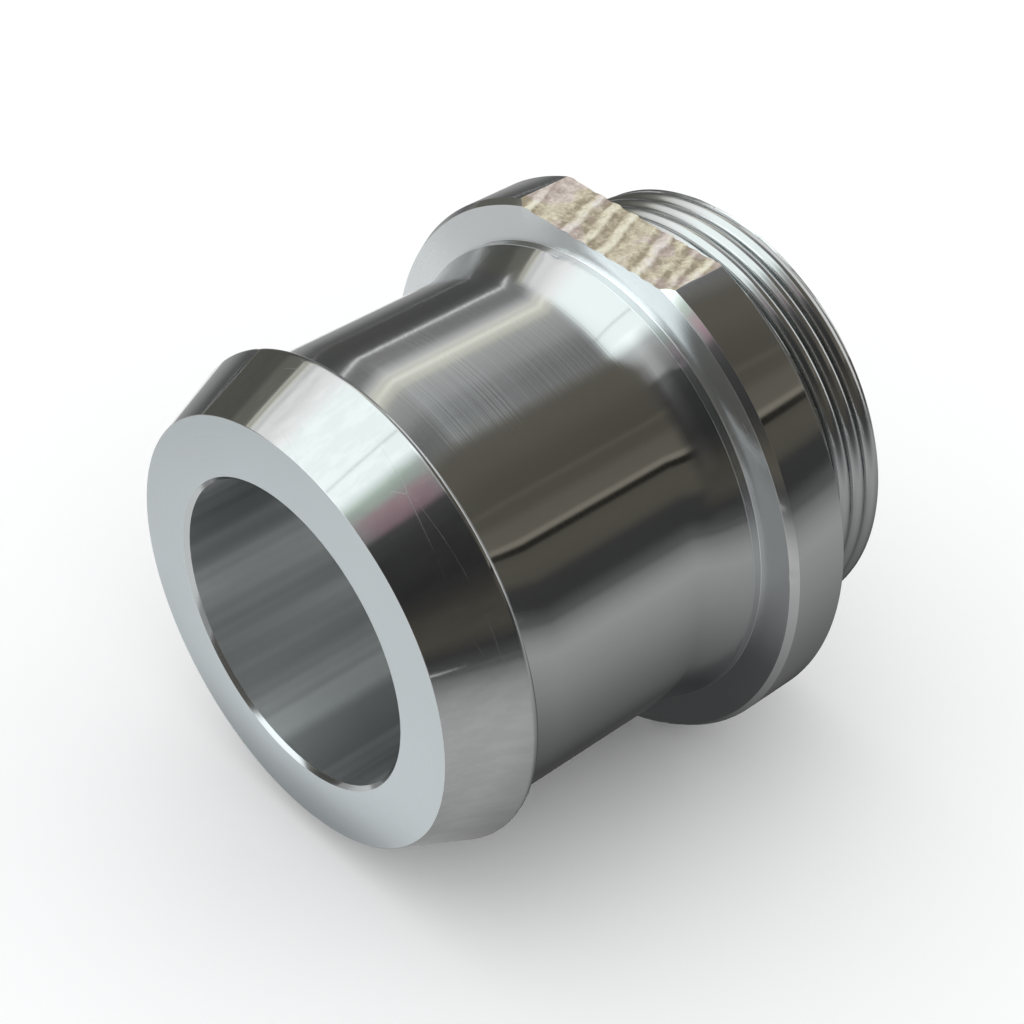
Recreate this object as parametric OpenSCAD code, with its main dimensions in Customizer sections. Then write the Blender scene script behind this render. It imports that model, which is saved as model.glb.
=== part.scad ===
// Hose adapter, turned in one piece: a hose tail with a holding lip, a collar with two
// wrench flats, and a threaded spigot.
// Millimetres. +X runs along the bore axis, from the hose end to the thread.
// The origin is on the bore axis, in the plane of the collar's sealing shoulder.
// +Z is square to the upper wrench flat.

/* [Hose tail] */
// Diameter of the neck that the hose grips
neck_d = 35; // [30:0.5:42]
// Height of the holding lip above the neck
lip_rise = 1.4; // [0.8:0.1:2.5]
// Radius that rounds the lip's edge
lip_edge_r = 0.5; // [0.2:0.1:0.7]
// Length of the lead-in cone, from the hose-end face to the back of the lip
nose_len = 6.2; // [4:0.1:10]
// Fall of the lead-in cone's radius from the lip to the hose-end face
nose_fall = 2.4; // [1:0.1:3]
// Length from the back of the lip to the ring in front of the collar
neck_len = 20.6; // [12:0.1:60]

/* [Neck blends] */
// Height at which the blend behind the lip starts above the neck
root_rise = 0.3; // [0.1:0.05:0.6]
// Length of the blend behind the lip
root_len = 3.2; // [1.5:0.1:5]
// Height that the flare reaches above the neck at the ring
flare_rise = 0.9; // [0.3:0.05:1.5]
// Length of the flare
flare_len = 4.4; // [2:0.1:6]

/* [Collar] */
// Height of the ring in front of the collar above the neck
ring_rise = 0.95; // [0.4:0.05:1.6]
// Length of the ring
ring_len = 0.7; // [0.3:0.1:3]
// Height of the collar's rim above the neck
collar_rise = 4; // [3:0.1:10]
// Length of the collar
collar_len = 5.3; // [3:0.1:12]
// Height of the chamfer on the collar's front edge
chamfer_h = 0.35; // [0.1:0.05:0.8]
// Length of the chamfer on the collar's front edge
chamfer_len = 0.6; // [0.2:0.05:1.5]
// Size of the small break on the collar's rear edge
rear_break = 0.15; // [0.05:0.05:0.5]
// Depth of each wrench flat below the rim
flat_cut = 1.4; // [0.6:0.1:2.2]

/* [Thread] */
// Major diameter of the thread
thread_d = 35; // [28:0.5:40]
// Length of the spigot from the sealing shoulder to its end
spigot_len = 8.5; // [6:0.1:30]
// Width of the run-out groove at the shoulder, with its sloping flank
relief_w = 3.5; // [2:0.1:4.2]
// Depth of the run-out groove below the thread's crest
relief_cut = 1.15; // [0.9:0.05:1.6]
// Size of the chamfer at the thread's end
lead_in = 0.3; // [0.2:0.1:1.5]

/* [Bore] */
// Diameter of the through bore
bore_d = 23.4; // [10:0.1:25]
// Size of the chamfer at each mouth of the bore
mouth_chamfer = 0.3; // [0.1:0.05:1]

/* [Hidden] */

// Steps round a full turn
fine = 180;
// Distance that a cutter runs past the face it cuts
over = 1;

neck_r = neck_d / 2;
lip_r = neck_r + lip_rise;
nose_r = lip_r - nose_fall;
ring_r = neck_r + ring_rise;
collar_r = neck_r + collar_rise;
thread_r = thread_d / 2;
bore_r = bore_d / 2;

// Places along the axis, counted from the sealing shoulder
collar_x = -collar_len;
ring_x = collar_x - ring_len;
lip_x = ring_x - neck_len;
nose_x = lip_x - nose_len;

// Radius of an arc that rises by h over a length l and starts level
function blend_r(l, h) = (l * l + h * h) / (2 * h);

// The profiles are drawn with the radius along X and the part's axis along Y.

// Lead-in cone, tangent to the round edge of the lip
module nose_profile() {
    edge = [lip_r - lip_edge_r, lip_x - lip_edge_r];
    reach = edge - [nose_r, nose_x];
    run = sqrt(norm(reach) * norm(reach) - lip_edge_r * lip_edge_r);
    lean = atan2(reach[0], reach[1]) + asin(lip_edge_r / norm(reach));
    touch = [nose_r + run * sin(lean), nose_x + run * cos(lean)];
    polygon([[0, nose_x], [nose_r, nose_x], touch, edge, [edge[0], lip_x], [0, lip_x]]);
    translate(edge) circle(r = lip_edge_r, $fn = fine);
}

// Hollow arc that leaves the neck level at start_x and rises by h at the far end.
// side is 1 where it rises towards the thread and -1 where it rises towards the lip.
module blend_profile(start_x, l, h, side) {
    r = blend_r(l, h);
    difference() {
        translate([0, side > 0 ? start_x : start_x - l]) square([neck_r + h, l]);
        translate([neck_r + r, start_x]) circle(r = r, $fn = fine);
    }
}

// Neck with its blend to the lip, its flare and the ring in front of the collar
module neck_profile() {
    translate([0, lip_x]) square([neck_r, neck_len]);
    blend_profile(lip_x + root_len, root_len, root_rise, -1);
    blend_profile(ring_x - flare_len, flare_len, flare_rise, 1);
    translate([0, ring_x]) square([ring_r, ring_len]);
}

// Collar, with a chamfer in front and a small break at the shoulder
module collar_profile() {
    polygon([
        [0, collar_x], [collar_r - chamfer_h, collar_x], [collar_r, collar_x + chamfer_len],
        [collar_r, -rear_break], [collar_r - rear_break, 0], [0, 0]
    ]);
}

// Spigot: run-out groove, thread at its major diameter and end chamfer
module spigot_profile() {
    groove_r = thread_r - relief_cut;
    polygon([
        [0, 0], [groove_r, 0], [groove_r, relief_w - relief_cut], [thread_r, relief_w],
        [thread_r, spigot_len - lead_in], [thread_r - lead_in, spigot_len], [0, spigot_len]
    ]);
}

// Through bore with a chamfer at each mouth
module bore_cut() {
    mouth_r = bore_r + mouth_chamfer;
    translate([0, 0, nose_x - over]) cylinder(r = bore_r, h = spigot_len - nose_x + 2 * over, $fn = fine);
    for (mouth = [nose_x, spigot_len]) {
        flip = mouth > 0 ? 1 : 0;
        translate([0, 0, mouth]) mirror([0, 0, flip])
            cylinder(r1 = mouth_r, r2 = bore_r, h = mouth_chamfer, $fn = fine);
    }
}

// One milled flat, cut square to +Z over the whole length of the collar
module flat_cutter() {
    translate([collar_x - over, -collar_r, collar_r - flat_cut])
        cube([collar_len + 2 * over, 2 * collar_r, flat_cut + over]);
}

module adapter_body() {
    color([0.66, 0.68, 0.69]) difference() {
        rotate([0, 90, 0]) difference() {
            rotate_extrude($fn = fine) {
                nose_profile();
                neck_profile();
                collar_profile();
                spigot_profile();
            }
            bore_cut();
        }
        flat_cutter();
        mirror([0, 0, 1]) flat_cutter();
    }
}

adapter_body();
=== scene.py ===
import math
import random

import bmesh
import bpy
import numpy as np
from mathutils import Matrix, Vector


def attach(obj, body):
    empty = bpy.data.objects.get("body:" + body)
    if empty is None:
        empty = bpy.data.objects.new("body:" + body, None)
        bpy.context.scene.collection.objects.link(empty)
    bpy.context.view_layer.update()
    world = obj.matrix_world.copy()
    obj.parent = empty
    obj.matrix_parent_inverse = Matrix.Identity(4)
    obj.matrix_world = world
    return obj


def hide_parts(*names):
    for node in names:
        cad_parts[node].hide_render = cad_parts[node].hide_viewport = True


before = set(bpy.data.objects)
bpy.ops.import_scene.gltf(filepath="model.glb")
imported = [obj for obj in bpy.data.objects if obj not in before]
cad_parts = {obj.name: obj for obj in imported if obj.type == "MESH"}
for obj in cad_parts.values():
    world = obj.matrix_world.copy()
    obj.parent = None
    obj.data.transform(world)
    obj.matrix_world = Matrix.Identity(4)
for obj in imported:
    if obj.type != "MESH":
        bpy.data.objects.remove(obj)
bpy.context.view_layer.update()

MM = 0.001

# ---------------------------------------------------------------- sizes, in millimetres

# Sizes of the part, as in its source. X runs along the bore axis.
NECK_R = 17.5
LIP_R = 18.9
LIP_EDGE_R = 0.5
NOSE_R = 16.5
NOSE_X = -32.8
LIP_X = -26.6
RING_X = -6.0
RING_R = 18.45
COLLAR_X = -5.3
COLLAR_R = 21.5
CHAMFER_H = 0.35
CHAMFER_L = 0.6
REAR_BREAK = 0.15
FLAT_Z = 20.1
ROOT_RISE = 0.3
ROOT_LEN = 3.2
FLARE_RISE = 0.9
FLARE_LEN = 4.4
THREAD_R = 17.5
END_X = 8.5
RELIEF_W = 3.5
RELIEF_CUT = 1.15
LEAD_IN = 0.3
BORE_R = 11.7
MOUTH = 0.3

# Rounds of the profile's corners, and the points that an arc gets
MOUTH_ROUND = 0.03
NOSE_ROUND = 0.07
RING_ROUND = 0.02
RING_FOOT_ROUND = 0.06
COLLAR_ROUND = 0.04
CHAMFER_ROUND = 0.12
SHOULDER_ROUND = 0.25
GROOVE_ROUND = 0.15
SMALL_ROUND = 0.3
SMALL_ROUND_STEPS = 4
ROUND_STEPS = 8
ROOT_STEPS = 10
FLARE_STEPS = 16

# The thread that the solid leaves out: a rounded crest and a narrow root
PITCH = 1.5
CREST_FALL = 0.5
CREST_POWER = 2.3
ROOT_CUT = 0.34
ROOT_SHARE = 0.11
# A place and an angle in degrees that the middle of the groove passes
GROOVE_X = 5.25
GROOVE_AT = 97.0
# Share of the cut that is left at the thread's end, and how far back the fade reaches
END_SHARE = 0.22
FADE_FROM, FADE_TO = 0.1, 0.75
THREAD_START = RELIEF_W - RELIEF_CUT + 0.1

# Mesh of the turned body: its columns, the rows of the thread, the softened edges at the
# thread's end, and rings that divide the long faces there and in the bore
COLUMNS = 400
THREAD_ROWS = 112
END_GAP = 0.004
END_EDGE = 0.03
MOUTH_EDGE_SOFT = 0.02
END_FACE_RINGS = (16.2, 14.0)
BORE_MIDDLE_X = NOSE_X + 20

# Small nicks in the ring's and lip's edges: angle, place along the axis, radius, reach, depth
NICKS = [
    (80.5, -6.0, 18.45, 0.18, 0.07), (82.3, -6.0, 18.45, 0.22, 0.09),
    (84.2, -6.0, 18.45, 0.18, 0.06), (86.5, -6.1, 18.45, 0.18, 0.05),
    (121.8, -6.0, 18.45, 0.14, 0.03), (171, -5.3, 21.2, 0.25, 0.06),
    (118, -5.0, 21.4, 0.2, 0.05), (240, -5.2, 21.3, 0.25, 0.07), (60, -27.0, 18.9, 0.25, 0.05),
    (203, -27.1, 18.9, 0.25, 0.05), (262, -32.7, 16.4, 0.25, 0.05),
]

# Ridges that the saw or mill left on the upper flat: place across the flat at its middle,
# height as a share of the depth, half width
TOP_RIDGES = [
    (9.2, 0.8, 0.36), (7.4, 0.8, 0.3), (5.4, 0.52, 1.0), (3.3, 0.95, 0.35), (1.6, 0.9, 0.36),
    (-0.2, 1.0, 0.36), (-1.9, 0.5, 0.75), (-3.6, 1.0, 0.36), (-5.0, 0.5, 0.4), (-6.3, 0.6, 0.3),
    (-7.5, 0.9, 0.3), (-9.4, 0.7, 0.3),
]
# The hidden flat gets as many, spread about evenly: first place, step, and the ranges of the
# shift, the height and the half width
LOW_RIDGE_FIRST, LOW_RIDGE_STEP = 8.6, 1.55
LOW_SHIFT, LOW_HEIGHT, LOW_WIDTH = (-0.3, 0.3), (0.4, 1.0), (0.27, 0.42)
# Each ridge: its depth, its lean against the axis, and two waves, as height and the range of
# their turns in radians per millimetre
RIDGE_DEPTH = 0.16
RIDGE_LEAN = (0.34, 0.5)
RIDGE_WAVES = [(0.1, 1.2, 2.2), (0.02, 5, 9)]
WAVE_START = (0, 6)
FLAT_MIDDLE_X = -2.6
# Its section: a gentle and a steep side, how square it is, and how its top falls off
RIDGE_GENTLE, RIDGE_STEEP = 1.6, 1.05
RIDGE_SQUARE = 4
TOP_FALL, TOP_SHIFT, TOP_REACH = 0.25, 0.4, 1.3
# Small lumps and pits over the flat: how many, where, their size and height, and how much
# longer they are along the axis
LUMPS = 260
LUMP_X, LUMP_Y = (-5.6, 0.3), (-8, 8)
LUMP_SIZE, LUMP_HEIGHT = (0.07, 0.3), (-0.2, 0.2)
LUMP_STRETCH = 1.5
TOP_SEED, LOW_SEED = 11, 29

# Block that cuts a flat: how far below the solid's plane its crests lie, its grid and reach
FLAT_CLEAR = 0.02
FLAT_ROWS, FLAT_COLUMNS = 60, 176
CUTTER_MARGIN = 0.6
CUTTER_HALF = 8.6
CUTTER_TOP = 23.0
# The relief dies out between these two distances from the middle, towards the flat's corners
CALM_FROM, CALM_TO, CALM_SHARE = 6.6, 7.4, 0.85

SHARP_ANGLE = 32


# ---------------------------------------------------------------- helpers

def add_object(name, data):
    """New object, linked to the scene."""
    obj = bpy.data.objects.new(name, data)
    bpy.context.scene.collection.objects.link(obj)
    return obj


def smooth_step(a, b, v):
    """0 below a, 1 above b, smooth between."""
    t = np.clip((v - a) / (b - a), 0, 1)
    return t * t * (3 - 2 * t)


def colour(c):
    """A grey level or an RGB triple as RGBA."""
    return (c[0], c[1], c[2], 1.0) if hasattr(c, "__len__") else (c, c, c, 1.0)


def scaled(c, share):
    """An RGB triple, brighter or darker, as RGBA."""
    return colour([v * share for v in c])


class Graph:
    """Short hand for building a node tree."""

    def __init__(self, tree):
        self.tree = tree
        tree.nodes.clear()

    def add(self, kind, inputs=None, **values):
        """New node with its settings and its inputs, each a constant or a socket."""
        n = self.tree.nodes.new(kind)
        for key, v in values.items():
            setattr(n, key, v)
        for key, v in (inputs or {}).items():
            self.put(n.inputs[key], v)
        return n

    def put(self, socket, v):
        if isinstance(v, bpy.types.NodeSocket):
            self.tree.links.new(v, socket)
        else:
            socket.default_value = v

    def math(self, op, a, b=0.0):
        return self.add("ShaderNodeMath", {0: a, 1: b}, operation=op).outputs[0]

    def ramp(self, fac, stops):
        """Colour from stops (place, colour)."""
        n = self.add("ShaderNodeValToRGB", {"Fac": fac})
        els = n.color_ramp.elements
        while len(els) > 1:
            els.remove(els[-1])
        els[0].position, els[0].color = stops[0][0], colour(stops[0][1])
        for place, c in stops[1:]:
            els.new(place).color = colour(c)
        return n.outputs["Color"]

    def step(self, v, a, b):
        """0 below a, 1 above b, smooth between."""
        n = self.add("ShaderNodeMapRange", {"Value": v, "From Min": a, "From Max": b},
                     interpolation_type="SMOOTHSTEP")
        return n.outputs["Result"]

    def mix(self, fac, a, b):
        n = self.add("ShaderNodeMix", {"Factor": fac}, data_type="RGBA")
        for name, v in (("A", a), ("B", b)):
            self.put(next(s for s in n.inputs if s.name == name and s.type == "RGBA"), v)
        return next(s for s in n.outputs if s.type == "RGBA")

    def noise(self, at, scale, detail=2.0, rough=0.5):
        return self.add("ShaderNodeTexNoise", {"Vector": at, "Scale": scale, "Detail": detail,
                                               "Roughness": rough}).outputs["Fac"]

    def line_noise(self, at, scale, detail, rough=0.5):
        """Noise along one value."""
        return self.add("ShaderNodeTexNoise", {"W": at, "Scale": scale, "Detail": detail,
                                               "Roughness": rough},
                        noise_dimensions="1D").outputs["Fac"]


def start_material(name, kind="ShaderNodeBsdfPrincipled"):
    """New material with one shader on its output: the material, its graph, the shader."""
    mat = bpy.data.materials.new(name)
    mat.use_nodes = True
    g = Graph(mat.node_tree)
    shader = g.add(kind)
    g.put(g.add("ShaderNodeOutputMaterial").inputs[0], shader.outputs[0])
    return mat, g, shader


# ---------------------------------------------------------------- camera

# Camera of the photograph: its place in the part's frame, its lens, and the part's +X and +Z
# as it sees them, counted right, down and ahead
CAMERA_AT = (-0.100803, -0.095600, 0.107155)
LENS = 81.043
SENSOR_WIDTH = 36.0
PART_X_SEEN = (0.741953, -0.416738, 0.525177)
PART_Z_SEEN = (0.016258, -0.772124, -0.635263)


def place_camera():
    """Camera of the photograph, as fitted to the part's circles."""
    data = bpy.data.cameras.new("photo_camera")
    data.sensor_width = SENSOR_WIDTH
    data.lens = LENS
    data.clip_start = 0.01
    data.clip_end = 50.0
    cam = add_object("photo_camera", data)
    bpy.context.scene.camera = cam
    x_seen, z_seen = Vector(PART_X_SEEN), Vector(PART_Z_SEEN)
    turn = Matrix((x_seen, z_seen.cross(x_seen), z_seen))
    right, up, back = (turn @ Vector(v) for v in ((1, 0, 0), (0, -1, 0), (0, 0, -1)))
    pose = Matrix((right, up, back)).transposed().to_4x4()
    pose.translation = Vector(CAMERA_AT)
    cam.matrix_world = pose


# ---------------------------------------------------------------- mesh of the turned body

def rounded(path):
    """Points (x, r, radius) with each corner turned into a short arc of that radius."""
    out = []
    for i, (x, r, radius) in enumerate(path):
        p = np.array([x, r])
        if radius <= 0 or i in (0, len(path) - 1):
            out.append(p)
            continue
        a = np.array(path[i - 1][:2]) - p
        b = np.array(path[i + 1][:2]) - p
        ua, ub = a / np.linalg.norm(a), b / np.linalg.norm(b)
        half = math.acos(max(-1.0, min(1.0, float(ua @ ub)))) / 2
        reach = radius / math.tan(half)
        start, stop = p + ua * reach, p + ub * reach
        centre = p + (ua + ub) / np.linalg.norm(ua + ub) * radius / math.sin(half)
        steps = ROUND_STEPS if radius > SMALL_ROUND else SMALL_ROUND_STEPS
        a0 = math.atan2(*(start - centre)[::-1])
        a1 = math.atan2(*(stop - centre)[::-1])
        turn = (a1 - a0 + math.pi) % (2 * math.pi) - math.pi
        for k in range(steps + 1):
            t = a0 + turn * k / steps
            out.append(centre + radius * np.array([math.cos(t), math.sin(t)]))
    return out


def hollow_arc(start_x, length, rise, side, steps):
    """Arc that leaves the neck level at start_x and rises by rise at its far end."""
    radius = (length * length + rise * rise) / (2 * rise)
    pts = []
    for k in range(steps + 1):
        d = length * k / steps
        r = NECK_R + radius - math.sqrt(radius * radius - d * d)
        pts.append((start_x + side * d, r))
    return pts


def body_profile():
    """Outline (x, r) from the hose-end mouth of the bore to the run-out groove."""
    reach = np.array([LIP_X - LIP_EDGE_R - NOSE_X, LIP_R - LIP_EDGE_R - NOSE_R])
    lean = math.atan2(reach[1], reach[0]) + math.asin(LIP_EDGE_R / np.linalg.norm(reach))
    lip_corner = NOSE_R + (LIP_X - NOSE_X) * math.tan(lean)
    front = [
        (NOSE_X + MOUTH, BORE_R, 0), (NOSE_X, BORE_R + MOUTH, MOUTH_ROUND),
        (NOSE_X, NOSE_R, NOSE_ROUND), (LIP_X, lip_corner, LIP_EDGE_R),
        (LIP_X, NECK_R + ROOT_RISE, 0),
    ]
    root = hollow_arc(LIP_X + ROOT_LEN, ROOT_LEN, ROOT_RISE, -1, ROOT_STEPS)[::-1]
    flare = hollow_arc(RING_X - FLARE_LEN, FLARE_LEN, FLARE_RISE, 1, FLARE_STEPS)
    groove_r = THREAD_R - RELIEF_CUT
    ring = [
        (RING_X, NECK_R + FLARE_RISE, 0), (RING_X, RING_R, RING_ROUND),
        (COLLAR_X, RING_R, RING_FOOT_ROUND), (COLLAR_X, COLLAR_R - CHAMFER_H, COLLAR_ROUND),
        (COLLAR_X + CHAMFER_L, COLLAR_R, CHAMFER_ROUND), (-REAR_BREAK, COLLAR_R, COLLAR_ROUND),
        (0, COLLAR_R - REAR_BREAK, COLLAR_ROUND), (0, groove_r, SHOULDER_ROUND),
        (RELIEF_W - RELIEF_CUT, groove_r, GROOVE_ROUND), (RELIEF_W, THREAD_R, 0),
    ]
    pts = rounded(front)[:-1] + [np.array(p) for p in root]
    pts += [np.array(p) for p in flare][:-1] + rounded(ring)[:-1]
    return [(float(p[0]), float(p[1])) for p in pts]


def thread_cut(x, turn):
    """Depth of the helical groove at a place along the axis and an angle in degrees."""
    phase = (x - GROOVE_X - PITCH * (turn - GROOVE_AT) / 360.0) / PITCH
    off = np.abs((phase + 0.5) % 1.0 - 0.5) * 2
    cut = CREST_FALL * (1 - off) ** CREST_POWER + ROOT_CUT * np.exp(-(off / ROOT_SHARE) ** 2)
    return cut * (END_SHARE + (1 - END_SHARE) * smooth_step(FADE_FROM, FADE_TO, END_X - x))


def body_rows():
    """Rows (x, r, threaded) of the mesh, once round the profile from the hose end's mouth."""
    rows = [(x, r, False) for x, r in body_profile()]
    length = END_X - END_GAP - THREAD_START
    for k in range(THREAD_ROWS + 1):
        x = THREAD_START + length * k / THREAD_ROWS
        slope, lead_in = THREAD_R - RELIEF_W + x, THREAD_R + (END_X - LEAD_IN) - x
        rows.append((x, min(THREAD_R, slope, lead_in), True))
    rows.append((END_X, THREAD_R - LEAD_IN - END_EDGE, True))
    rows += [(END_X, r, False) for r in END_FACE_RINGS]
    rows += [(END_X, BORE_R + MOUTH + MOUTH_EDGE_SOFT, False),
             (END_X - MOUTH_EDGE_SOFT, BORE_R + MOUTH, False),
             (END_X - MOUTH, BORE_R, False), (BORE_MIDDLE_X, BORE_R, False)]
    return rows


def dent_edges(co):
    """Pushes the mesh in a little at each nick."""
    for turn, x, r, reach, depth in NICKS:
        a = math.radians(turn)
        spot = np.array([x, r * math.cos(a), r * math.sin(a)])
        near = np.exp(-(((co - spot) / reach) ** 2).sum(1))
        inward = np.array([0.0, -math.cos(a), -math.sin(a)])
        co += (near * depth)[:, None] * inward


def turned_mesh():
    """Closed mesh of the whole adapter before its flats: profile, thread, end and bore."""
    rows = body_rows()
    turn = np.arange(COLUMNS) * 360.0 / COLUMNS
    a = np.radians(turn)
    co = []
    for x, r, threaded in rows:
        radius = np.full(COLUMNS, r)
        if threaded:
            radius = np.minimum(radius, THREAD_R - thread_cut(x, turn))
        co.append(np.stack([np.full(COLUMNS, x), radius * np.cos(a), radius * np.sin(a)], 1))
    co = np.concatenate(co)
    dent_edges(co)
    quads = []
    for i in range(len(rows)):
        j = (i + 1) % len(rows)
        for k in range(COLUMNS):
            m = (k + 1) % COLUMNS
            quads.append((i * COLUMNS + k, i * COLUMNS + m, j * COLUMNS + m, j * COLUMNS + k))
    mesh = bpy.data.meshes.new("adapter_skin")
    mesh.from_pydata((co * MM).tolist(), [], quads)
    mesh.update()
    return mesh


# ---------------------------------------------------------------- rough flats

def flat_relief(x, y, side):
    """How far a place on a flat stands up, from 0 in a valley to 1 on a ridge's crest."""
    rnd = random.Random(TOP_SEED if side > 0 else LOW_SEED)
    ridges = TOP_RIDGES
    if side < 0:
        ridges = [(LOW_RIDGE_FIRST - LOW_RIDGE_STEP * k + rnd.uniform(*LOW_SHIFT),
                   rnd.uniform(*LOW_HEIGHT), rnd.uniform(*LOW_WIDTH))
                  for k in range(len(TOP_RIDGES))]
    total = np.zeros_like(x)
    for place, high, width in ridges:
        lean = rnd.uniform(*RIDGE_LEAN)
        wave = sum(swing * np.sin(x * rnd.uniform(slow, fast) + rnd.uniform(*WAVE_START))
                   for swing, slow, fast in RIDGE_WAVES)
        off = y - place - lean * (x - FLAT_MIDDLE_X) - wave
        spread = width * np.where(off > 0, RIDGE_GENTLE, RIDGE_STEEP)
        from_top = np.abs(off + TOP_SHIFT * width) / (TOP_REACH * width)
        top = 1 - TOP_FALL * smooth_step(0, 1, from_top)
        total = np.maximum(total, high * top * np.exp(-(off / spread) ** RIDGE_SQUARE))
    for _ in range(LUMPS):
        px, py = rnd.uniform(*LUMP_X), rnd.uniform(*LUMP_Y)
        size, high = rnd.uniform(*LUMP_SIZE), rnd.uniform(*LUMP_HEIGHT)
        lump = np.exp(-(((x - px) / (LUMP_STRETCH * size)) ** 2 + ((y - py) / size) ** 2))
        total = total + high * lump
    return np.clip(total, 0.0, 1.0)


def cutter_mesh(side):
    """Block whose near face is the rough surface of one flat."""
    nx, ny = FLAT_ROWS, FLAT_COLUMNS
    xs = np.linspace(COLLAR_X - CUTTER_MARGIN, CUTTER_MARGIN, nx)
    ys = np.linspace(-CUTTER_HALF, CUTTER_HALF, ny)
    gx, gy = np.meshgrid(xs, ys, indexing="ij")
    calm = 1 - CALM_SHARE * smooth_step(CALM_FROM, CALM_TO, np.abs(gy))
    low = FLAT_Z - FLAT_CLEAR - RIDGE_DEPTH * calm * (1 - flat_relief(gx, gy, side))
    bm = bmesh.new()
    verts = [[bm.verts.new((gx[i, j] * MM, gy[i, j] * MM, side * low[i, j] * MM))
              for j in range(ny)] for i in range(nx)]
    for i in range(nx - 1):
        for j in range(ny - 1):
            bm.faces.new((verts[i][j], verts[i][j + 1], verts[i + 1][j + 1], verts[i + 1][j]))
    rim = [verts[i][0] for i in range(nx)] + [verts[-1][j] for j in range(1, ny)]
    rim += [verts[i][-1] for i in range(nx - 2, -1, -1)]
    rim += [verts[0][j] for j in range(ny - 2, 0, -1)]
    top = [bm.verts.new((v.co.x, v.co.y, side * CUTTER_TOP * MM)) for v in rim]
    for k in range(len(rim)):
        m = (k + 1) % len(rim)
        bm.faces.new((rim[k], rim[m], top[m], top[k]))
    bm.faces.new(top)
    bmesh.ops.recalc_face_normals(bm, faces=bm.faces)
    mesh = bpy.data.meshes.new("flat_cutter")
    bm.to_mesh(mesh)
    bm.free()
    return mesh


def cut_flats(body):
    """Cuts both flats into the body. Their faces get the rough finish."""
    blocks = []
    for side in (1, -1):
        mesh = cutter_mesh(side)
        for m in MATERIALS:
            mesh.materials.append(m)
        for p in mesh.polygons:
            p.material_index = FLAT
        block = add_object("flat_cutter", mesh)
        mod = body.modifiers.new("flat", "BOOLEAN")
        mod.operation = "DIFFERENCE"
        mod.solver = "EXACT"
        mod.object = block
        mod.material_mode = "INDEX"
        blocks.append(block)
    bpy.context.view_layer.update()
    depsgraph = bpy.context.evaluated_depsgraph_get()
    done = bpy.data.meshes.new_from_object(body.evaluated_get(depsgraph))
    body.modifiers.clear()
    body.data = done
    for block in blocks:
        bpy.data.objects.remove(block)
    done.name = "adapter_skin"


def drop_loose_corners(mesh):
    """Removes points with only two edges, which would give the exported mesh folded slivers."""
    bm = bmesh.new()
    bm.from_mesh(mesh)
    bmesh.ops.dissolve_verts(bm, verts=[v for v in bm.verts if len(v.link_edges) == 2])
    bm.to_mesh(mesh)
    bm.free()


def store_crest(mesh):
    """Keeps how far each place of the two flats stands up, for the painted light and shade of
    their finish.
    """
    co = np.empty(len(mesh.vertices) * 3)
    mesh.vertices.foreach_get("co", co)
    co = co.reshape(-1, 3) / MM
    crest = np.where(co[:, 2] > 0, flat_relief(co[:, 0], co[:, 1], 1),
                     flat_relief(co[:, 0], co[:, 1], -1))
    mesh.attributes.new("crest", "FLOAT", "POINT").data.foreach_set("value", crest)


# ---------------------------------------------------------------- materials

STEEL = (0.56, 0.57, 0.57)
# Depth in metres that a bump height of 1 stands for
METAL_BUMP = 0.00002
ROUGH_BUMP = 0.00009
# Slow clouds in colour and roughness, and a fine grain: noise scales, and the colour's range
CLOUD_SCALE = 90.0
CLOUD_DARK, CLOUD_LIGHT = 0.94, 1.05
GRAIN_SCALE = 1400.0
# Turned lines: noise scales of the wide and the thin ones, their shares of the height, and
# how much the thin ones change the roughness
WIDE_LINES, THIN_LINES = 1500.0, 6000.0
WIDE_SHARE, THIN_SHARE = 0.55, 0.45
LINE_ROUGH, LINE_ROUGH_MOST = 0.8, 0.08
# Painted reflection bands along the axis, lighter and darker in the base colour: how little the
# noise changes that way, and the range it is read in
STREAK_STRETCH = 0.02
STREAK_FROM, STREAK_TO = 0.4, 0.62
# Fine scratches: edges of stretched cells, kept where a noise is high
SCRATCH_STRETCH, SCRATCH_TURN = (1.0, 0.16, 0.16), (0.4, 0.3, 0.7)
SCRATCH_SCALE, SCRATCH_WIDTH = 420.0, 0.007
SCRATCH_PATCHES, SCRATCH_FROM, SCRATCH_TO = 160.0, 0.5, 0.7
SCRATCH_DEPTH, SCRATCH_ROUGH = 0.16, 0.14
# Rough flats: noise scales, and what crest, grain and mottle add to the paleness; the crest's
# share is painted light and shade, paler crests and darker valleys
CUT_GRAIN, CUT_MOTTLE, CUT_PATCHES = 3400.0, 1150.0, 330.0
PALE_START, PAINTED_CREST_LIGHT, PALE_GRAIN, PALE_MOTTLE = 0.04, 0.72, 0.9, 1.3
# Rose patches: their gain per metre from the middle, and the range in which they set in
ROSE_GAIN = 22.0
ROSE_FROM, ROSE_TO = 0.57, 0.68


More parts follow.
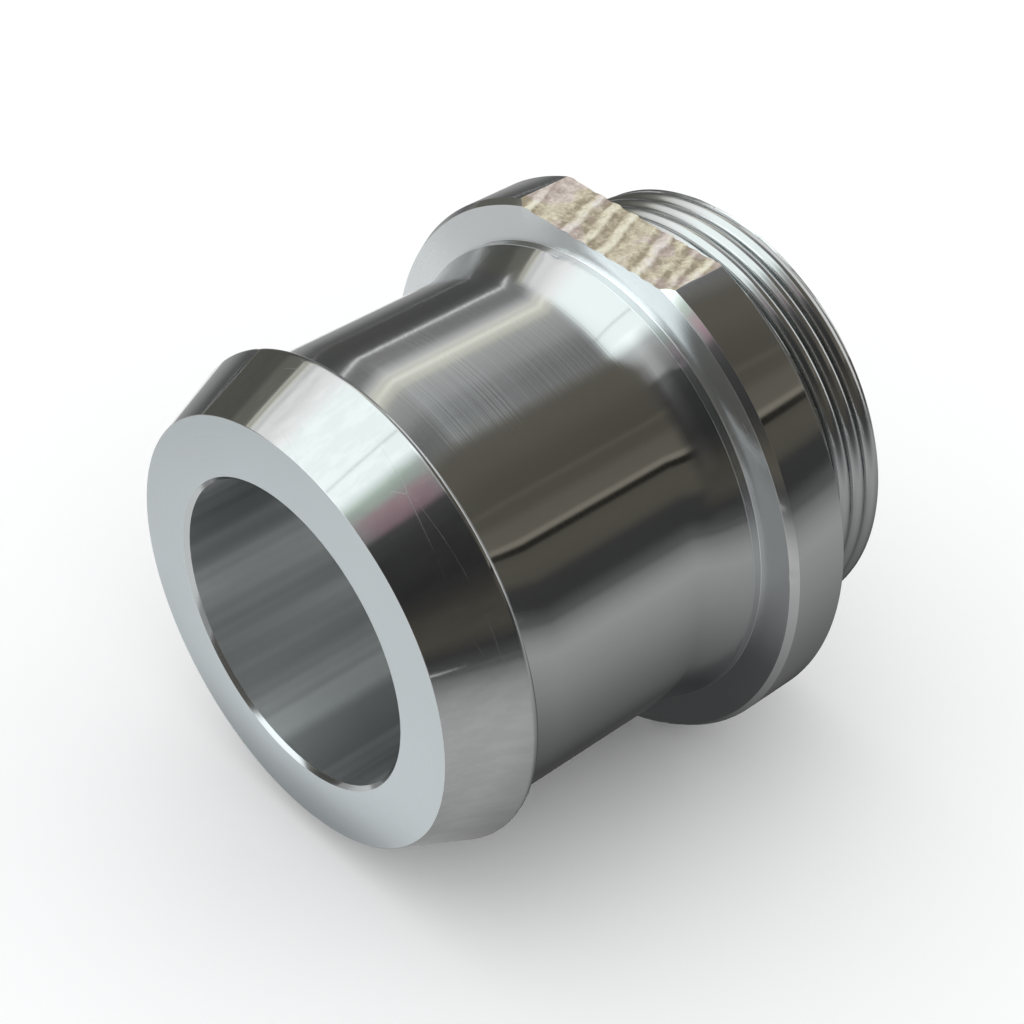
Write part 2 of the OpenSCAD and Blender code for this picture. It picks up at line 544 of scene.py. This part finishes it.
def metal(name, base, roughness, lines, anisotropy=0.0, line_bump=0.05, grain_bump=0.02,
          rough_spread=0.06, reflection_streaks=None, scratched=False):
    """Bare turned steel. lines is 'x' where the tool moved along the axis and 'r' where it
    moved across it. Its streaks argument gives how far the painted reflection bands along the
    axis leave the base colour, and their noise scale."""
    mat, g, bsdf = start_material(name)
    bsdf.inputs["Metallic"].default_value = 1.0
    bsdf.inputs["Anisotropic"].default_value = anisotropy
    bsdf.inputs["Anisotropic Rotation"].default_value = 0.25
    tangent = g.add("ShaderNodeTangent", direction_type="RADIAL", axis="X")
    g.put(bsdf.inputs["Tangent"], tangent.outputs[0])
    spot = g.add("ShaderNodeTexCoord").outputs["Object"]
    along, y, z = g.add("ShaderNodeSeparateXYZ", {"Vector": spot}).outputs
    if lines == "r":
        along = g.math("SQRT", g.math("ADD", g.math("MULTIPLY", y, y), g.math("MULTIPLY", z, z)))
    cloud = g.noise(spot, CLOUD_SCALE, detail=3.0)
    grain = g.noise(spot, GRAIN_SCALE, detail=3.0, rough=0.6)
    wide = g.line_noise(along, WIDE_LINES, detail=2.0)
    thin = g.line_noise(along, THIN_LINES, detail=1.0, rough=0.6)
    turned = g.math("ADD", g.math("MULTIPLY", wide, WIDE_SHARE),
                    g.math("MULTIPLY", thin, THIN_SHARE))
    height = g.math("ADD", g.math("MULTIPLY", grain, grain_bump),
                    g.math("MULTIPLY", turned, line_bump))
    rough = g.math("ADD", roughness - rough_spread / 2, g.math("MULTIPLY", cloud, rough_spread))
    rough = g.math("ADD", rough, g.math("MULTIPLY", g.math("SUBTRACT", thin, 0.5),
                                        min(LINE_ROUGH_MOST, LINE_ROUGH * line_bump)))
    col = g.mix(cloud, scaled(base, CLOUD_DARK), scaled(base, CLOUD_LIGHT))
    # Painted reflection: bands along the axis, lighter and darker than the base colour
    if reflection_streaks:
        drawn = g.add("ShaderNodeMapping", {"Vector": spot, "Scale": (STREAK_STRETCH, 1.0, 1.0)})
        share, scale = reflection_streaks
        streak = g.noise(drawn.outputs[0], scale, detail=3.0, rough=0.6)
        col = g.mix(g.step(streak, STREAK_FROM, STREAK_TO), scaled(base, 1 - share),
                    scaled(base, 1 + share))
    if scratched:
        stretch = g.add("ShaderNodeMapping", {"Vector": spot, "Scale": SCRATCH_STRETCH,
                                              "Rotation": SCRATCH_TURN})
        cell = g.add("ShaderNodeTexVoronoi",
                     {"Vector": stretch.outputs[0], "Scale": SCRATCH_SCALE},
                     feature="DISTANCE_TO_EDGE")
        line = g.math("LESS_THAN", cell.outputs["Distance"], SCRATCH_WIDTH)
        kept = g.step(g.noise(spot, SCRATCH_PATCHES), SCRATCH_FROM, SCRATCH_TO)
        mark = g.math("MULTIPLY", line, kept)
        height = g.math("SUBTRACT", height, g.math("MULTIPLY", mark, SCRATCH_DEPTH))
        rough = g.math("ADD", rough, g.math("MULTIPLY", mark, SCRATCH_ROUGH))
    g.put(bsdf.inputs["Base Color"], col)
    g.put(bsdf.inputs["Roughness"], rough)
    bump = g.add("ShaderNodeBump", {"Height": height, "Strength": 1.0, "Distance": METAL_BUMP})
    g.put(bsdf.inputs["Normal"], bump.outputs[0])
    return mat


def rough_cut():
    """Raw cut surface of the wrench flats: dull and warm, with painted light on the ridges'
    crests and painted shade in the valleys between them, and rose in patches towards the
    corners."""
    mat, g, bsdf = start_material("rough_cut_flat")
    bsdf.inputs["Metallic"].default_value = 0.7
    spot = g.add("ShaderNodeTexCoord").outputs["Object"]
    crest = g.add("ShaderNodeAttribute", attribute_name="crest").outputs["Fac"]
    grain = g.noise(spot, CUT_GRAIN, detail=4.0, rough=0.7)
    mottle = g.noise(spot, CUT_MOTTLE, detail=4.0, rough=0.65)
    patch = g.noise(spot, CUT_PATCHES, detail=3.0)
    # Painted light and shade: paleness follows the height of the ridges
    level = g.math("ADD", PALE_START, g.math("MULTIPLY", crest, PAINTED_CREST_LIGHT))
    for share, noise in ((PALE_GRAIN, grain), (PALE_MOTTLE, mottle)):
        level = g.math("ADD", level, g.math("MULTIPLY", g.math("SUBTRACT", noise, 0.5), share))
    warm = g.ramp(level, [(0.0, (0.38, 0.32, 0.235)), (0.3, (0.62, 0.55, 0.42)),
                          (0.6, (0.83, 0.78, 0.63)), (1.0, (0.96, 0.93, 0.82))])
    rose = g.ramp(level, [(0.0, (0.46, 0.37, 0.33)), (0.4, (0.72, 0.63, 0.58)),
                          (1.0, (0.95, 0.9, 0.87))])
    across = g.add("ShaderNodeSeparateXYZ", {"Vector": spot}).outputs["Y"]
    patch = g.math("ADD", patch, g.math("MULTIPLY", g.math("ABSOLUTE", across), ROSE_GAIN))
    g.put(bsdf.inputs["Base Color"], g.mix(g.step(patch, ROSE_FROM, ROSE_TO), warm, rose))
    g.put(bsdf.inputs["Roughness"], g.math("ADD", 0.4, g.math("MULTIPLY", grain, 0.3)))
    bump = g.add("ShaderNodeBump", {"Height": grain, "Strength": 1.0, "Distance": ROUGH_BUMP})
    g.put(bsdf.inputs["Normal"], bump.outputs[0])
    return mat


MATERIALS = [
    metal("turned_polish", STEEL, 0.105, "x", anisotropy=0.93, line_bump=0.1, grain_bump=0.006,
          rough_spread=0.04),
    # Cone: faint painted reflection bands along the axis
    metal("cone_polish", STEEL, 0.095, "x", anisotropy=0.85, grain_bump=0.01, rough_spread=0.04,
          reflection_streaks=(0.03, 1100.0), scratched=True),
    metal("satin_face", (0.475, 0.515, 0.53), 0.42, "r", anisotropy=0.3, line_bump=0.5,
          grain_bump=0.6),
    # Bore: base far paler than steel, painted light that lifts the bore's shade, with strong
    # painted reflection bands along the axis
    metal("bore_wall_painted_light", (0.765, 0.785, 0.79), 0.33, "x", anisotropy=0.6, line_bump=0.08,
          grain_bump=0.06, reflection_streaks=(0.26, 200.0)),
    metal("thread_flank", STEEL, 0.17, "x", grain_bump=0.03),
    rough_cut(),
    metal("collar_face", (0.61, 0.635, 0.645), 0.26, "r", anisotropy=0.8),
    # Ring and collar edges: far paler than steel, partly burnish from wear and partly a painted
    # highlight line
    metal("burnish_and_highlight_edge", (0.79, 0.8, 0.8), 0.14, "x", anisotropy=0.6),
    # Mouth chamfers: a darker copy of steel, painted shade
    metal("mouth_edge_painted_shade", (0.41, 0.425, 0.43), 0.14, "x", anisotropy=0.6),
]
TURNED, CONE, SATIN, BORE, THREAD, FLAT, COLLAR, EDGE, MOUTH_EDGE = range(9)

# Where one finish ends and the next begins: the axial part of the normal from which a face is
# square to the axis, the reach along the axis of the collar's finish past both its faces, and
# the slack past the bore, past its mouth, before the ring and past the collar's chamfer
SQUARE_FACE = 0.97
COLLAR_REACH = 1
BORE_SLACK, MOUTH_SLACK, RING_SLACK, CHAMFER_SLACK = 0.02, 0.06, 0.05, 0.1
# The edge finish is on radii below the first and above the second of these two
RING_EDGE_R, COLLAR_EDGE_R = 19, 21
# The cone's finish ends this far before the lip's crest
CONE_GAP = 0.6


def finish_at(x, r, nx):
    """Which finish a face of the turned body has, from its place and the axial part of
    its normal."""
    square = abs(nx) > SQUARE_FACE
    if r < BORE_R + BORE_SLACK:
        return BORE
    if square and COLLAR_X - COLLAR_REACH < x < COLLAR_REACH:
        return COLLAR
    if r < BORE_R + MOUTH + MOUTH_SLACK:
        return MOUTH_EDGE
    if square:
        return SATIN
    past_chamfer = COLLAR_X + CHAMFER_L + CHAMFER_SLACK
    if RING_X - RING_SLACK < x < past_chamfer and (r > COLLAR_EDGE_R or r < RING_EDGE_R):
        return EDGE
    if x < LIP_X - CONE_GAP:
        return CONE
    if x > RELIEF_W - RELIEF_CUT:
        return THREAD
    return TURNED


def finish_faces(mesh):
    """Gives each face of the turned body its finish."""
    for m in MATERIALS:
        mesh.materials.append(m)
    bm = bmesh.new()
    bm.from_mesh(mesh)
    bmesh.ops.recalc_face_normals(bm, faces=bm.faces)
    for f in bm.faces:
        c = f.calc_center_median() / MM
        f.material_index = finish_at(c.x, math.hypot(c.y, c.z), f.normal.x)
    bm.to_mesh(mesh)
    bm.free()


def make_adapter():
    """The whole adapter: turned body with its finishes, flats cut in, shading set."""
    mesh = turned_mesh()
    body = add_object("adapter_skin", mesh)
    finish_faces(mesh)
    cut_flats(body)
    drop_loose_corners(body.data)
    store_crest(body.data)
    body.data.shade_smooth()
    body.data.set_sharp_from_angle(angle=math.radians(SHARP_ANGLE))
    return body


# ---------------------------------------------------------------- floor and light

# The studio that reflections see: a softbox overhead, a wall on the right with a lit window
# and dark edges, and a paper floor with the part's shadow painted on it. Angles are degrees
# round the part's axis from +Y towards +Z, each with a level.
OVERHEAD = [
    (-3, 0.12), (18, 0.12), (21, 0.19), (28.6, 0.2), (29.4, 0.76), (31, 0.52), (32.5, 1.0),
    (35, 0.85), (37, 1.15), (41, 1.1), (48, 1.38), (56, 1.55), (81.6, 1.55), (82.4, 0.95),
    (83.2, 1.55), (91, 1.55), (94, 1.13), (97.5, 0.63), (103, 0.45), (112, 0.27),
    (114.5, 0.085), (124, 0.052), (142, 0.038), (150, 0.05), (157, 0.076), (167, 0.09),
    (174, 0.056), (184, 0.13),
]
RIGHT = [
    (-3, 0.1), (12, 0.1), (19, 0.14), (21.1, 0.3), (21.4, 2.0), (22.1, 2.0), (22.5, 0.34),
    (26, 0.26), (34, 0.27), (39, 0.62), (42, 0.85), (43.2, 1.12), (44.2, 0.7), (47.5, 1.3),
    (49.2, 0.83), (53, 0.72), (54.5, 0.52), (60, 0.46), (68, 0.39), (74, 0.26), (82, 0.215),
    (90, 0.215), (97, 0.14), (107, 0.136), (116, 0.113), (125, 0.104), (127, 0.137),
    (129, 0.11), (133, 0.113), (137, 0.15), (144, 0.157), (145, 0.273), (146.8, 0.273),
    (147.4, 0.02), (150, 0.02), (150.6, 0.107), (156, 0.115), (163, 0.107), (167, 0.06),
    (177, 0.055), (184, 0.14),
]
# Tones of the two: a cool softbox, a cream window and an olive wall
PLAIN, COOL, CREAM, OLIVE = (1, 1, 1), (0.95, 1.03, 1.02), (1.03, 1.02, 0.9), (1.12, 1.03, 0.85)
OVERHEAD_TONE = [(29, CREAM), (32, CREAM), (33, PLAIN), (48, PLAIN), (56, COOL), (94, COOL),
                 (103, PLAIN), (145, PLAIN), (157, OLIVE), (167, OLIVE), (174, PLAIN)]
RIGHT_TONE = [(40, PLAIN), (44, CREAM), (53, CREAM), (56, PLAIN), (88, PLAIN), (98, OLIVE),
              (163, OLIVE), (167, PLAIN)]
# Faint colours in the softbox's edge, on the side that the lead-in cone mirrors
TINTS = [(93, PLAIN), (97, (0.92, 1.06, 0.93)), (101, (0.95, 1.05, 0.95)),
         (104.5, (1.12, 0.8, 0.88)), (112, (1.18, 0.82, 0.93)), (115, PLAIN)]
TINTS_AT = (-0.45, -0.19)
TINTS_FADE_IN, TINTS_FADE_OUT = 0.05, 0.04
# How much brighter the softbox's edge is where the flare mirrors it
BLOOM = [(89, 1), (94, 1.4), (105, 1.7), (112, 2.4), (117, 3.0), (128, 2.0), (140, 1.4),
         (151, 1.8), (160, 1)]
BLOOM_FROM, BLOOM_AT = -0.05, 0.12
# Where the overhead level gives way to the right one, in metres along the axis: angle, place
# where it starts, place where it ends
HAND_OVER = [(-3, 0.48, 0.54), (93, 0.46, 0.54), (106, 0.2, 0.33), (184, 0.2, 0.33)]
# Distance of the cards from the axis and their ends along it, in metres
CARD_RING = 1.0
LEFT_REACH = -1.0
RIGHT_REACH = 1.8
# Paper floor right of the part: distance from the axis, level under the collar, level in
# front of the lip; the low levels near the axis are the part's painted shadow. Then its left:
# distance, level.
FLOOR_RIGHT = [
    (-1.6, 0.13, 0.13), (-0.39, 0.14, 0.14), (-0.167, 0.31, 0.31), (-0.118, 0.4, 0.41),
    (-0.078, 0.48, 0.5), (-0.055, 0.42, 0.56), (-0.042, 0.36, 0.56), (-0.033, 0.29, 0.54),
    (-0.026, 0.22, 0.51), (-0.019, 0.145, 0.44), (-0.014, 0.07, 0.37), (0.03, 0.05, 0.37),
]
FLOOR_LEFT = [(0.07, 0.4), (0.1, 0.34), (0.17, 0.22), (0.26, 0.14), (0.9, 0.1)]
# Places along the axis between which the level in front of the lip turns into the one under
# the collar, and the paper's ends
LIP_SIDE, COLLAR_SIDE = -0.024, -0.012
PAPER_START, PAPER_END = -0.3, 1.2
# In front of the hose end: distance from the axis, level, and its ends along the axis
FLOOR_FRONT = [(-0.014, 1.2), (0.02, 1.08), (0.045, 0.9), (0.075, 0.62), (0.3, 0.5)]
FRONT_SPAN = (-0.5, -0.031)
# How far above the floor the paper lies, and the paper in front above that
PAPER_UP, FRONT_UP = 0.0004, 0.0005
# Wall at the hose end, dim on the right and bright on the left: place across, level, and its
# foot and top
WALL_DIM, WALL_BRIGHT = (0.17, 0.16, 0.145), (2.2, 2.32, 2.35)
END_WALL = [(-1.6, WALL_DIM), (0.07, WALL_DIM), (0.19, WALL_BRIGHT), (1.6, WALL_BRIGHT)]
WALL_SPAN = (-0.1, 1.3)

# The floor that the camera sees
FLOOR_SIZE = 4.0
FLOOR_COLOUR = (0.965, 0.968, 0.972)
# Lamps: name, place, size, power
LAMPS = [("key", (-0.4, 0.6, 1.8), 2.2, 6.5), ("fill", (-0.9, -1.3, 1.2), 1.6, 3.0)]
WORLD_FILL = 0.92


def place_floor():
    """Pale floor under the two places where the part rests: a flat's front edge and the lip."""
    mesh = bpy.data.meshes.new("floor")
    bm = bmesh.new()
    bmesh.ops.create_grid(bm, x_segments=8, y_segments=8, size=FLOOR_SIZE)
    bm.to_mesh(mesh)
    bm.free()
    floor = add_object("floor", mesh)
    tip = math.atan2(FLAT_Z - LIP_R, LIP_EDGE_R - LIP_X + COLLAR_X)
    floor.rotation_euler = (0, tip, 0)
    floor.location = (COLLAR_X * MM, 0, -FLAT_Z * MM)
    mat, _, bsdf = start_material("pale_floor")
    bsdf.inputs["Base Color"].default_value = colour(FLOOR_COLOUR)
    bsdf.inputs["Roughness"].default_value = 0.9
    bsdf.inputs["Specular IOR Level"].default_value = 0.2
    mesh.materials.append(mat)
    return floor


def between(stops, at, k=1):
    """Level, or RGB, in column k of a list of stops, in a straight line between neighbours."""
    places = [p[0] for p in stops]
    return np.array([np.interp(at, places, [colour(p[k])[c] for p in stops]) for c in range(3)])


class Cards:
    """Collects the cards' grids in one mesh, with a level at each corner."""

    def __init__(self):
        self.verts, self.faces, self.tints = [], [], []

    def grid(self, rows):
        """rows: lists of (point, level), all of one length."""
        first, wide = len(self.verts), len(rows[0])
        for row in rows:
            for point, tint in row:
                self.verts.append(tuple(point))
                self.tints.append(colour(tint))
        for i in range(len(rows) - 1):
            for j in range(wide - 1):
                k = first + i * wide + j
                self.faces.append((k, k + 1, k + 1 + wide, k + wide))


def studio_shell():
    """Rows of the shell round the part, one for each angle that any list names."""
    lists = OVERHEAD + OVERHEAD_TONE + TINTS + BLOOM + RIGHT + RIGHT_TONE + HAND_OVER
    rows = []
    for t in sorted({stop[0] for stop in lists}):
        y, z = (CARD_RING * f(math.radians(t)) for f in (math.cos, math.sin))
        over = between(OVERHEAD, t) * between(OVERHEAD_TONE, t)
        right = between(RIGHT, t) * between(RIGHT_TONE, t)
        tinted = over * between(TINTS, t)
        start, end = (float(between(HAND_OVER, t, k)[0]) for k in (1, 2))
        rows.append([((x, y, z), tint) for x, tint in (
            (LEFT_REACH, over), (TINTS_AT[0] - TINTS_FADE_IN, over), (TINTS_AT[0], tinted),
            (TINTS_AT[1], tinted), (TINTS_AT[1] + TINTS_FADE_OUT, over), (BLOOM_FROM, over),
            (BLOOM_AT, over * between(BLOOM, t)), (start, over), (end, right),
            (RIGHT_REACH, right))])
    return rows


def place_cards(floor):
    """One staged mesh with all the cards, which only reflections see."""
    def on_floor(x, y, up):
        """Point of the tilted floor, or a little above it."""
        return floor.matrix_world @ Vector((x, y, up))

    cards = Cards()
    cards.grid(studio_shell())
    # Paper right of the part, with the part's painted shadow near the axis
    cards.grid([[(on_floor(x, y, PAPER_UP), under if x >= COLLAR_SIDE else front)
                 for x in (PAPER_START, LIP_SIDE, COLLAR_SIDE, PAPER_END)]
                for y, under, front in FLOOR_RIGHT])
    cards.grid([[(on_floor(x, y, PAPER_UP), level) for x in (LIP_SIDE, PAPER_END)]
                for y, level in FLOOR_LEFT])
    cards.grid([[(on_floor(x, y, FRONT_UP), level) for x in FRONT_SPAN]
                for y, level in FLOOR_FRONT])
    cards.grid([[((LEFT_REACH, y, z), level) for y, level in END_WALL] for z in WALL_SPAN])
    mesh = bpy.data.meshes.new("studio_cards")
    mesh.from_pydata(cards.verts, [], cards.faces)
    layer = mesh.attributes.new("tint", "FLOAT_COLOR", "POINT")
    for i, tint in enumerate(cards.tints):
        layer.data[i].color = tint
    mat, g, glow = start_material("studio_card", "ShaderNodeEmission")
    tint = g.add("ShaderNodeAttribute", attribute_name="tint").outputs["Color"]
    g.put(glow.inputs["Color"], tint)
    mesh.materials.append(mat)
    obj = add_object("studio_cards", mesh)
    obj.visible_camera = False
    obj.visible_diffuse = False
    obj.visible_shadow = False
    obj.visible_transmission = False


def place_lamps():
    """Large soft key from behind on the left and a weak fill from the front. The floor and its
    shadow take their light from them, and reflections see the cards instead."""
    for name, at, size, power in LAMPS:
        data = bpy.data.lights.new(name, "AREA")
        data.shape = "SQUARE"
        data.size = size
        data.energy = power
        lamp = add_object(name, data)
        lamp.location = at
        lamp.rotation_euler = Vector(at).to_track_quat("Z", "Y").to_euler()
        lamp.visible_camera = False
        lamp.visible_glossy = False


def white_world():
    """White where a camera ray or a reflection leaves the set, and a plain fill for the rest."""
    world = bpy.data.worlds.new("studio")
    bpy.context.scene.world = world
    world.use_nodes = True
    g = Graph(world.node_tree)
    path = g.add("ShaderNodeLightPath")
    seen = g.math("MAXIMUM", path.outputs["Is Camera Ray"], path.outputs["Is Glossy Ray"])
    seen = g.math("MAXIMUM", seen, path.outputs["Is Transmission Ray"])
    fill, white = (g.add("ShaderNodeBackground", {"Color": colour(1), "Strength": strength})
                   for strength in (WORLD_FILL, 1.0))
    mix = g.add("ShaderNodeMixShader", {0: seen, 1: fill.outputs[0], 2: white.outputs[0]})
    g.put(g.add("ShaderNodeOutputWorld").inputs[0], mix.outputs[0])


# ---------------------------------------------------------------- the scene

place_camera()
body = make_adapter()
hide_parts("adapter_body")
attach(body, "root")

stage_floor = place_floor()
bpy.context.view_layer.update()
place_cards(stage_floor)
place_lamps()
white_world()
bpy.context.scene.view_settings.view_transform = "Standard"
